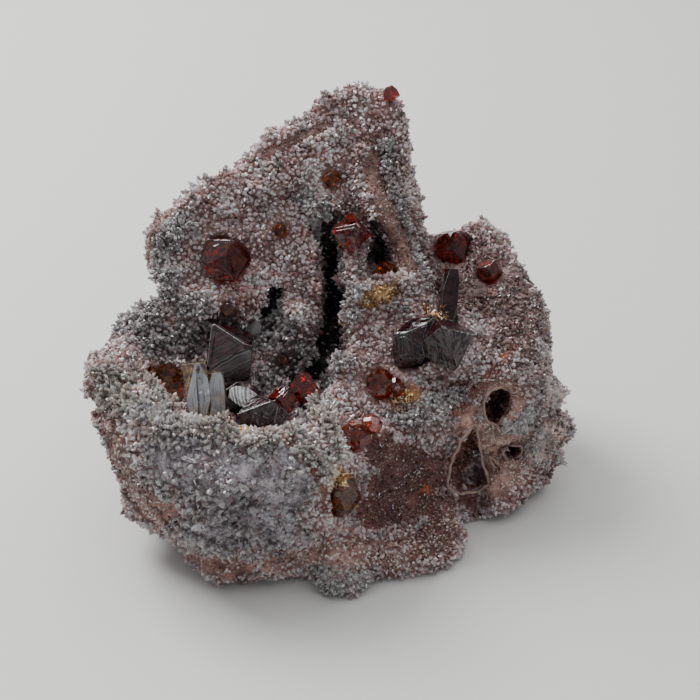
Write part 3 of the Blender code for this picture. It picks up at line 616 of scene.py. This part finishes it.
SAME_PLANE = math.radians(3)  # facets that differ by less than this are one face
EDGE = 0.14  # millimetres taken off the edges
HALF_ROUNDED = 0.3  # off those of the small worn ruby
ROUNDED = 0.45  # and off those of the rounded beads
STRIP = 0.012  # area over perimeter squared below which a face is an eased edge
EDGE_PAINTED_SHINE = 0.35  # painted highlight: how silver the eased edges are painted
PLATED = 5.0  # square millimetres of the least face with a plate of growth
PLATE_IN = 0.13  # how far in a plate's edge lies, as a share of its face's size, give or take half
PLATE_RISE = 0.05  # millimetres that a plate rises
PLATE_WALL = 0.05  # millimetres of width that its edge takes
PAINTED_SHINE_WAY = (-0.6, -0.1, 0.8)  # the way in which a painted silver face brightens: a painted reflection gradient
PAINTED_SHINE_DIM = 0.5  # how bright the painted silver's dim end is
SAME_FACE = 0.97  # how nearly a face has to look a given way to count as that face
LINE_GAP = 0.45  # millimetres between growth lines, coarser than the real ones so that they show


def crystal(kind, material, ruled, painted_shine_faces=(), edge=EDGE):
    """Sphalerite from its solid: ruled is the way across its growth lines; the listed faces are painted
    silver, a painted reflection.
    """
    node = f"sphalerite_{kind}"
    shape = bmesh.new()
    shape.from_mesh(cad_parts[node].data)
    bmesh.ops.remove_doubles(shape, verts=shape.verts, dist=1e-6)
    bmesh.ops.dissolve_limit(shape, angle_limit=SAME_PLANE, verts=shape.verts, edges=shape.edges)
    bmesh.ops.bevel(shape, geom=shape.edges[:], offset=edge * MM, segments=3 if edge > EDGE else 2,
                    profile=0.5, affect="EDGES", clamp_overlap=True)
    strip = shape.faces.layers.int.new("strip")
    for face in shape.faces:
        face[strip] = edge == EDGE and face.calc_area() < STRIP * face.calc_perimeter() ** 2
    for face in [face for face in shape.faces if face.calc_area() > PLATED * MM * MM]:
        inset = PLATE_IN * math.sqrt(face.calc_area()) * chooser.uniform(0.5, 1.5)
        bmesh.ops.inset_individual(shape, faces=[face], thickness=inset, use_even_offset=True)
        bmesh.ops.inset_individual(shape, faces=[face], thickness=PLATE_WALL * MM,
                                   depth=PLATE_RISE * MM, use_even_offset=True)
    bmesh.ops.triangulate(shape, faces=shape.faces[:])
    mesh = bpy.data.meshes.new(f"{kind}_crystal")
    shape.to_mesh(mesh)
    shape.free()
    mesh.shade_flat()
    across = read(mesh) @ np.array(Vector(ruled).normalized()) / MM
    mesh.attributes.new("across", "FLOAT", "POINT").data.foreach_set("value", across.astype(np.float32))
    out = np.array([tuple(face.normal) for face in mesh.polygons])
    strips = np.empty(len(out), np.int32)
    mesh.attributes["strip"].data.foreach_get("value", strips)
    # painted shine: a painted highlight on the eased edges and a painted silver reflection on the listed
    # faces
    painted_shine = np.repeat(EDGE_PAINTED_SHINE * strips[:, None], 3, axis=1)
    corner = read(mesh)[np.array([tuple(face.vertices) for face in mesh.polygons])]
    for facing, amount in painted_shine_faces:
        mine = out @ np.array(Vector(facing).normalized()) > SAME_FACE
        if mine.any():
            along = corner[mine] @ np.array(PAINTED_SHINE_WAY)
            along = (along - along.min()) / (along.max() - along.min())
            painted_shine[mine] = amount * (PAINTED_SHINE_DIM + (1 - PAINTED_SHINE_DIM) * along)
    height = read(mesh)[:, 2]
    foot = (height - height.min()) / (height.max() - height.min())
    mesh.attributes.new("foot", "FLOAT", "POINT").data.foreach_set("value", foot.astype(np.float32))
    layer = mesh.attributes.new("painted_shine", "FLOAT", "CORNER")
    layer.data.foreach_set("value", painted_shine.ravel().astype(np.float32))
    mesh.materials.append(material)
    piece = new_object(mesh, mesh.name)
    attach(piece, "root")
    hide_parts(node)


def glassy(name, tones, silver, clear, passes, taken, bends, streaked=0.2, carved=0.15, fades=0.05):
    """Sphalerite of one colour.

    tones are its two body tones, silver is the colour painted on its bright faces as a painted
    reflection, clear is how clear it is, passes and taken are the light that it lets through and how
    fast it takes the rest, and bends is its IOR. streaked is how bright a painted silver face is between
    its lines, carved is the depth of those lines in millimetres, and fades is the share of its height
    below which the painted silver gives out.
    """
    material, tree, shader = new_material(name)
    shader.inputs["Roughness"].default_value = 0.07
    shader.inputs["IOR"].default_value = bends
    shader.inputs["Transmission Weight"].default_value = clear
    place = add(tree, "ShaderNodeNewGeometry")
    across = add(tree, "ShaderNodeAttribute", [("attribute_name", "across")])
    painted_shine = add(tree, "ShaderNodeAttribute", [("attribute_name", "painted_shine")])
    waver = add(tree, "ShaderNodeTexNoise", [("Scale", 1 / (3.0 * MM))],
                [("Vector", place.outputs["Position"])])
    bent = add(tree, "ShaderNodeMath", [("operation", "MULTIPLY_ADD"), (1, 1.6)],
               [(0, waver.outputs["Fac"]), (2, across.outputs["Fac"])])
    lines = add(tree, "ShaderNodeTexNoise",
                [("noise_dimensions", "1D"), ("Scale", 1 / LINE_GAP), ("Detail", 3.0)],
                [("W", bent.outputs[0])])
    painted_streaks = add(tree, "ShaderNodeMapRange", [("From Min", 0.38), ("From Max", 0.56), ("To Min", streaked)],
              [("Value", lines.outputs["Fac"])])
    veils = add(tree, "ShaderNodeTexNoise", [("Scale", 1 / (1.6 * MM)), ("Detail", 2.0), ("Distortion", 1.5)],
                [("Vector", place.outputs["Position"])])
    body = add(tree, "ShaderNodeValToRGB", [], [(0, veils.outputs["Fac"])])
    body.color_ramp.elements[0].position = 0.42
    body.color_ramp.elements[0].color = linear(tones[0])
    body.color_ramp.elements[1].position = 0.66
    body.color_ramp.elements[1].color = linear(tones[1])
    foot = add(tree, "ShaderNodeAttribute", [("attribute_name", "foot")])
    risen = add(tree, "ShaderNodeMapRange", [("From Min", fades), ("From Max", fades + 0.4)],
                [("Value", foot.outputs["Fac"])])
    broad = add(tree, "ShaderNodeMapRange", [("From Min", 0.40), ("From Max", 0.60), ("To Min", 0.6)],
                [("Value", waver.outputs["Fac"])])
    lined = add(tree, "ShaderNodeMath", [("operation", "MULTIPLY")],
                [(0, painted_streaks.outputs[0]), (1, painted_shine.outputs["Fac"])])
    faded = add(tree, "ShaderNodeMath", [("operation", "MULTIPLY")],
                [(0, lined.outputs[0]), (1, risen.outputs[0])])
    share = add(tree, "ShaderNodeMath", [("operation", "MULTIPLY")],
                [(0, faded.outputs[0]), (1, broad.outputs[0])])
    # The silver mixed into the listed faces is a painted reflection, with painted streaks between the growth
    # lines, fading towards the foot
    colour = add(tree, "ShaderNodeMix", [("data_type", "RGBA"), (7, linear(silver))],
                 [(0, share.outputs[0]), (6, body.outputs[0])])
    tree.links.new(colour.outputs[2], shader.inputs["Base Color"])
    lustre = add(tree, "ShaderNodeMath", [("operation", "MULTIPLY"), (1, 0.35)], [(0, share.outputs[0])])
    tree.links.new(lustre.outputs[0], shader.inputs["Metallic"])
    deeper = add(tree, "ShaderNodeMath", [("operation", "ADD"), (1, 0.2)], [(0, painted_shine.outputs["Fac"])])
    steps = add(tree, "ShaderNodeMath", [("operation", "MULTIPLY")],
                [(0, lines.outputs["Fac"]), (1, deeper.outputs[0])])
    waves = add(tree, "ShaderNodeMath", [("operation", "MULTIPLY_ADD"), (1, 3.0)],
                [(0, waver.outputs["Fac"]), (2, steps.outputs[0])])
    relief = add(tree, "ShaderNodeBump", [("Strength", 1.0), ("Distance", carved * MM)],
                 [("Height", waves.outputs[0])])
    tree.links.new(relief.outputs[0], shader.inputs["Normal"])
    depth = add(tree, "ShaderNodeVolumeAbsorption", [("Color", linear(passes)), ("Density", taken)])
    tree.links.new(depth.outputs[0], tree.nodes["Material Output"].inputs["Volume"])
    return material


# Iron-rich sphalerite: all but opaque, maroon against the light, with a lustre between glass and metal,
# partly a metallic share and partly a painted white reflection on its listed faces
black_sphalerite = glassy("black_sphalerite", ("#100608", "#42161b"), "#ffffff", clear=0.35,
                          passes="#c8281a", taken=1500.0, bends=1.6, streaked=0.25, carved=0.17)
crystal("big_dark", black_sphalerite, (-0.5, 0.2, 0.85),
        [((0.29, -0.94, -0.18), 1.0), ((-0.27, -0.59, 0.76), 0.05)])
crystal("striated", black_sphalerite, (1, 0.1, 0.1), [((-0.07, -0.50, 0.87), 0.6)])
crystal("dark_front", black_sphalerite, (0.6, 0, 0.7), [((0.50, -0.26, 0.83), 0.05)])
crystal("black_twin", black_sphalerite, (1, 0.15, 0.1),
        [((-0.23, -0.90, 0.37), 0.10), ((-0.43, -0.88, 0.21), 0.05), ((0.71, -0.58, 0.41), 0.05)])

# The pale twin: the same with less iron, so that light comes through its foot brown and gold; its broad faces
# are painted bluish silver, a painted reflection
silver_sphalerite = glassy("silver_sphalerite", ("#43352b", "#9c7c54"), "#eef5ff", clear=0.35,
                           passes="#e7a95a", taken=400.0, bends=1.8, streaked=0.75, carved=0.12, fades=0.16)
crystal("silver_twin", silver_sphalerite, (1, 0, 0.1),
        [((0.10, -0.82, 0.56), 1.0), ((0.0, -0.83, 0.55), 0.9)])

# Ruby sphalerite: deep red glass, nearly black where it is thick and glowing where light gets through; a few
# of its faces carry a painted pale reflection
ruby_sphalerite = glassy("ruby_sphalerite", ("#560e08", "#f0502a"), "#f6e6de", clear=0.94,
                         passes="#fc3c1c", taken=260.0, bends=1.75, streaked=0.05, carved=0.10)
for kind, ruled, painted_shine_faces in [
    ("ruby_left", (0.3, 0.2, 1), [((-0.15, -0.89, 0.44), 0.35), ((0.35, -0.55, 0.75), 0.6)]),
    ("ruby_right", (0.2, 0.1, 1), [((-0.15, -0.90, 0.41), 0.5)]),
    ("septum", (1, 0, 0.3), [((0.31, -0.53, 0.79), 0.35)]),
    ("peak", (0, 0, 1), []),
    ("deep_upper", (1, 0, 0), []),
    ("deep_red", (1, 0, 1), []),
    ("small_red", (1, 0, 1), []),
]:
    crystal(kind, ruby_sphalerite, ruled, painted_shine_faces)

# Orange-red sphalerite: the small rounded ones, clearer and warmer than the ruby; the beads' listed faces
# carry a painted white reflection
orange_sphalerite = glassy("orange_red_sphalerite", ("#74200c", "#f47434"), "#ffffff", clear=0.92,
                           passes="#fd5a24", taken=220.0, bends=1.75, streaked=0.05, carved=0.08)
crystal("ruby_small", orange_sphalerite, (0.1, 0.2, 1), [], HALF_ROUNDED)
crystal("bead_upper", orange_sphalerite, (0, 0, 1), [((0.20, -0.82, 0.54), 0.8)], ROUNDED)
crystal("bead_lower", orange_sphalerite, (0, 0, 1), [((-0.42, -0.74, 0.52), 0.8)], ROUNDED)

# Amber sphalerite: honey to brown, the palest and clearest; its eased edges carry a painted pale highlight
amber_sphalerite = glassy("amber_sphalerite", ("#6b2c0c", "#e8952f"), "#f0dcae", clear=0.92,
                          passes="#fd9a2c", taken=260.0, bends=1.6)
for kind, ruled in [
    ("amber_basin", (1, 0, 0.5)), ("orange_fragment", (1, 0, 0)), ("orange_small", (0, 0, 1)),
    ("amber_brown", (0, 0, 1)), ("pocket", (1, 0, 0.2)), ("amber_gem", (0.4, 0, 1)),
]:
    crystal(kind, amber_sphalerite, ruled)


# The rims of the cells: the walls between them end in thin, pale, wandering edges of quartz that
# broke clean. Each is one closed cord laid along a cell's rim and half sunk in the rock.

RIM_THICK = (0.10, 0.50)  # millimetres, least and most
RIM_SUNK = 0.22  # millimetres that a cord's middle lies under the skin
RIM_STEP = 0.35  # millimetres between the rings of a cord
RIM_REACH = 4.0  # millimetres before a rim's given places at which the search for the stone starts
RIM_WANDER = 0.7  # millimetres that a rim wanders
stone_skin = BVHTree.FromPolygons([tuple(v) for v in read(skin)], corners.tolist())


def cord(name, path, thick):
    """A closed loop of six-sided rings along a closed path."""
    ahead = unit(np.roll(path, -1, axis=0) - np.roll(path, 1, axis=0))
    side = unit(np.cross(ahead, CELL_RUN))
    out = np.cross(side, ahead)
    turn = np.arange(6) * math.pi / 3
    around = np.cos(turn)[:, None] * side[:, None] + np.sin(turn)[:, None] * out[:, None]
    ring = thick[:, None, None] * around
    verts = (path[:, None] + ring).reshape(-1, 3)
    start = 6 * np.arange(len(path))[:, None]
    after = np.roll(start, -1, axis=0)
    a, b = np.arange(6), (np.arange(6) + 1) % 6
    faces = np.stack([start + a, start + b, after + b, after + a], axis=-1).reshape(-1, 4)
    mesh = bpy.data.meshes.new(name)
    mesh.from_pydata([tuple(v) for v in (verts + CENTRE) * MM], [], faces.tolist())
    mesh.shade_smooth()
    return mesh


# Pale quartz along broken edges: brownish white and a little waxy
edge_quartz, tree, shader = new_material("pale_broken_quartz")
shader.inputs["Roughness"].default_value = 0.4
place = add(tree, "ShaderNodeNewGeometry")
cloudy = add(tree, "ShaderNodeTexNoise", [("Scale", 1 / (0.8 * MM)), ("Detail", 3.0)],
             [("Vector", place.outputs["Position"])])
tone = add(tree, "ShaderNodeMix", [("data_type", "RGBA"), (6, linear("#5d413a")), (7, linear("#a98f86"))],
           [(0, cloudy.outputs["Fac"])])
tree.links.new(tone.outputs[2], shader.inputs["Base Color"])
bump = add(tree, "ShaderNodeBump", [("Strength", 1.0), ("Distance", 0.3 * MM)],
           [("Height", cloudy.outputs["Fac"])])
tree.links.new(bump.outputs[0], shader.inputs["Normal"])
for number, rim in enumerate(CELL_RIMS):
    rim = np.array(rim)
    along = []
    for start, end in zip(rim, np.roll(rim, -1, axis=0)):
        steps = max(2, int(np.linalg.norm(end - start) / RIM_STEP))
        along.append(start + (end - start) * np.linspace(0, 1, steps, endpoint=False)[:, None])
    along = np.concatenate(along)
    for _ in range(4):
        along = 0.5 * along + 0.25 * (np.roll(along, 1, axis=0) + np.roll(along, -1, axis=0))
    snapped = []
    for where in (along + CENTRE) * MM:
        found = stone_skin.ray_cast(Vector(where - RIM_REACH * MM * CELL_RUN), Vector(CELL_RUN),
                                    1.5 * RIM_REACH * MM)
        snapped.append(np.array(found[0]) / MM - CENTRE if found[0] is not None else where / MM - CENTRE)
    path = np.array(snapped)
    for _ in range(3):
        path = 0.5 * path + 0.25 * (np.roll(path, 1, axis=0) + np.roll(path, -1, axis=0))
    path += RIM_WANDER * np.stack([lumpy(path, 1.6, seed) for seed in (31, 32, 33)], axis=1)
    path += RIM_SUNK * CELL_RUN
    thick = RIM_THICK[0] + (RIM_THICK[1] - RIM_THICK[0]) * (0.5 + lumpy(path, 1.2, 34))
    crust_piece(cord(f"cell_rim_{number}", path, thick), edge_quartz)


# Gold-brown crusts: grains of fine amber sphalerite and iron-stained quartz that glitter, grown in
# patches over some of the crystals and the rock beside them

GRAIN_RADIUS = (0.16, 0.36)  # a grain's least and most radius, in millimetres
GRAIN_HEIGHT = (0.08, 0.42)  # and its height
GRAIN_SQUAT = 0.6  # least height of a grain as a share of its radius
GRAIN_LEAN = 0.6  # how far the grains lean from square to what they grew on
# Each patch: its middle, reach and number of grains
PATCHES = [
    ((-2.4, -27.6, 25.2), 2.6, 260), ((1.6, -25.4, 16.6), 2.0, 120), ((17.4, 1.6, 41.0), 2.2, 170),
    ((15.6, 4.6, 40.8), 1.5, 70), ((-34.6, -13.4, 33.4), 2.6, 200), ((-25.4, -21.6, 34.6), 1.8, 90),
    ((-19.6, -24.2, 34.4), 1.3, 70), ((6.4, 4.6, 44.0), 2.6, 160), ((11.0, -9.0, 28.4), 2.2, 110),
    ((-1.6, 15.2, 49.6), 1.5, 60),
]
surfaces = crystal_skins + [stone_skin]
put, outward = [], []
for middle, reach, count in PATCHES:
    for shot in unit(chooser.normal(size=(count, 3))) * reach * chooser.random((count, 1)) ** 0.4:
        place = Vector((np.array(middle) + shot + CENTRE) * MM)
        found = min((tree.find_nearest(place) for tree in surfaces), key=lambda hit: hit[3])
        nearest = np.array(found[0]) / MM - CENTRE
        if np.linalg.norm(nearest - middle) < reach * chooser.uniform(0.6, 1.0):
            put.append(nearest)
            outward.append(np.array(found[1]))
put, outward = np.array(put), np.array(outward)
size = chooser.random(len(put))
radius = GRAIN_RADIUS[0] + (GRAIN_RADIUS[1] - GRAIN_RADIUS[0]) * size
height = GRAIN_HEIGHT[0] + (GRAIN_HEIGHT[1] - GRAIN_HEIGHT[0]) * chooser.random(len(put))
height = np.maximum(height, GRAIN_SQUAT * radius)
tint = toned(("#6a3a12", "#f0c68a"), put, 0.45)
# Gold-brown grains: half metallic in the light, brown in the shade
gold, tree, shader = new_material("gold_brown_crust")
own_tone = add(tree, "ShaderNodeAttribute", [("attribute_name", "tint")])
tree.links.new(own_tone.outputs["Color"], shader.inputs["Base Color"])
shader.inputs["Roughness"].default_value = 0.22
shader.inputs["Metallic"].default_value = 0.35
outward = unit(outward + GRAIN_LEAN * chooser.normal(size=put.shape))
# The grains' glitter is partly painted: they get more painted glints and painted face shade than the druse
crust_piece(points("gold_brown_crust", put, outward, radius, height, tint, False, 1.4), gold)


# Single crystals of clear quartz that stand out of the druse: a leaf on the wall, a blade across the
# boulder's edge and a few stout ones on the boulder

# Each: its place, the way it points, its radius and its length in millimetres
SINGLES = [
    ((-22.1, 18.0, 53.6), (-0.15, -0.55, 0.8), 0.6, 3.8),
    ((-5.8, -27.9, 31.0), (0.60, 0.0, -0.80), 0.55, 6.4),
    ((-27.2, -30.8, 26.6), (-0.3, -0.9, -0.9), 0.66, 3.6),
    ((-24.6, -31.0, 25.4), (0.4, -0.9, -0.9), 0.66, 3.8),
    ((-23.9, -30.6, 26.9), (0.5, -0.9, 0.1), 0.6, 3.2), ((-38.2, -21.4, 33.4), (-0.5, -0.8, 0.1), 0.8, 3.6),
    ((-13.2, -28.9, 27.4), (0.2, -0.9, -0.5), 0.6, 3.2), ((-18.6, -30.4, 20.3), (0.2, -0.9, 0.5), 0.66, 3.2),
    ((-39.1, -21.6, 35.6), (-0.5, -0.5, 0.7), 0.8, 3.4), ((-36.0, -22.4, 34.9), (0.2, -0.7, 0.6), 0.8, 3.4),
    ((-15.2, 3.6, 33.6), (0.3, -0.4, 0.9), 0.5, 3.2),
    ((-33.5, -27.5, 25.5), (-0.4, -0.9, -0.3), 0.6, 3.2), ((-30.2, -29.5, 21.2), (0.3, -0.9, -0.2), 0.6, 3.0),
    ((-19.4, 7.4, 32.0), (0.05, -0.35, 0.93), 1.7, 5.4),
    ((-11.4, -29.8, 22.6), (0.1, -0.9, 0.4), 0.6, 3.2), ((-20.4, -31.6, 15.6), (-0.3, -0.9, 0.3), 0.6, 3.0),
]
place = np.array([single[0] for single in SINGLES])
up = unit(np.array([single[1] for single in SINGLES]))
radius, height = np.array([single[2:] for single in SINGLES]).T
tint = np.tile(linear("#f8f3f2"), (len(place), 1))
crust_piece(points("quartz_singles", place, up, radius, height, tint, True, 0.5), clear)


# Where the specimen stands: a plain pale floor, the room's soft light with a window, a ceiling and a
# weak fill in front, and the camera

bpy.ops.mesh.primitive_plane_add(size=3.0)
floor = bpy.context.object
floor.name = "floor"
pale, tree, shader = new_material("pale_floor")
shader.inputs["Base Color"].default_value = linear("#d0d0cc")
shader.inputs["Roughness"].default_value = 0.6
floor.data.materials.append(pale)

world = bpy.data.worlds.new("studio")
bpy.context.scene.world = world
world.use_nodes = True
# The room is lighter above and behind the object than in front of it
sky, room_light = world.node_tree, world.node_tree.nodes["Background"]
facing = add(sky, "ShaderNodeTexCoord")
parts = add(sky, "ShaderNodeSeparateXYZ", [], [("Vector", facing.outputs["Generated"])])
high = add(sky, "ShaderNodeMath", [("operation", "MULTIPLY_ADD"), (1, 0.5), (2, 0.45)],
           [(0, parts.outputs["Z"])])
behind = add(sky, "ShaderNodeMath", [("operation", "MULTIPLY_ADD"), (1, 0.45)],
             [(0, parts.outputs["Y"]), (2, high.outputs[0])])
glow = add(sky, "ShaderNodeMix", [("data_type", "RGBA"), (6, linear("#77777a")), (7, linear("#f2f4f6"))],
           [(0, behind.outputs[0])])
sky.links.new(glow.outputs[2], room_light.inputs[0])
room_light.inputs[1].default_value = 0.60


def softbox(name, place, aim, size, power):
    """A rectangular light that looks from its place to its aim."""
    light = bpy.data.lights.new(name, "AREA")
    light.shape = "RECTANGLE"
    light.size = size[0]
    light.size_y = size[1]
    light.energy = power
    lamp = bpy.data.objects.new(name, light)
    bpy.context.scene.collection.objects.link(lamp)
    lamp.location = place
    lamp.rotation_euler = (Vector(aim) - Vector(place)).to_track_quat("-Z", "Y").to_euler()


softbox("window", (-0.35, 0.28, 0.50), (0, 0, 0.03), (0.35, 0.35), 6.0)
softbox("ceiling", (0.15, 0.20, 0.80), (0, 0, 0.03), (1.0, 1.0), 4.8)
softbox("fill", (0.16, -0.55, 0.14), (0, 0, 0.03), (0.3, 0.2), 0.25)

ELEVATION = math.radians(38)
DISTANCE = 300.0  # millimetres
AIM = np.array((0.0, 0.0, 34.0))  # the place in the layout that the camera looks at
view = bpy.data.cameras.new("camera")
view.lens = 77.9
view.sensor_width = 36.0
view.clip_start = 0.01
camera = bpy.data.objects.new("camera", view)
bpy.context.scene.collection.objects.link(camera)
back = np.array((0, -math.cos(ELEVATION), math.sin(ELEVATION))) * DISTANCE
camera.location = (AIM + back + CENTRE) * MM
camera.rotation_euler = Vector(-back).to_track_quat("-Z", "Y").to_euler()
bpy.context.scene.camera = camera
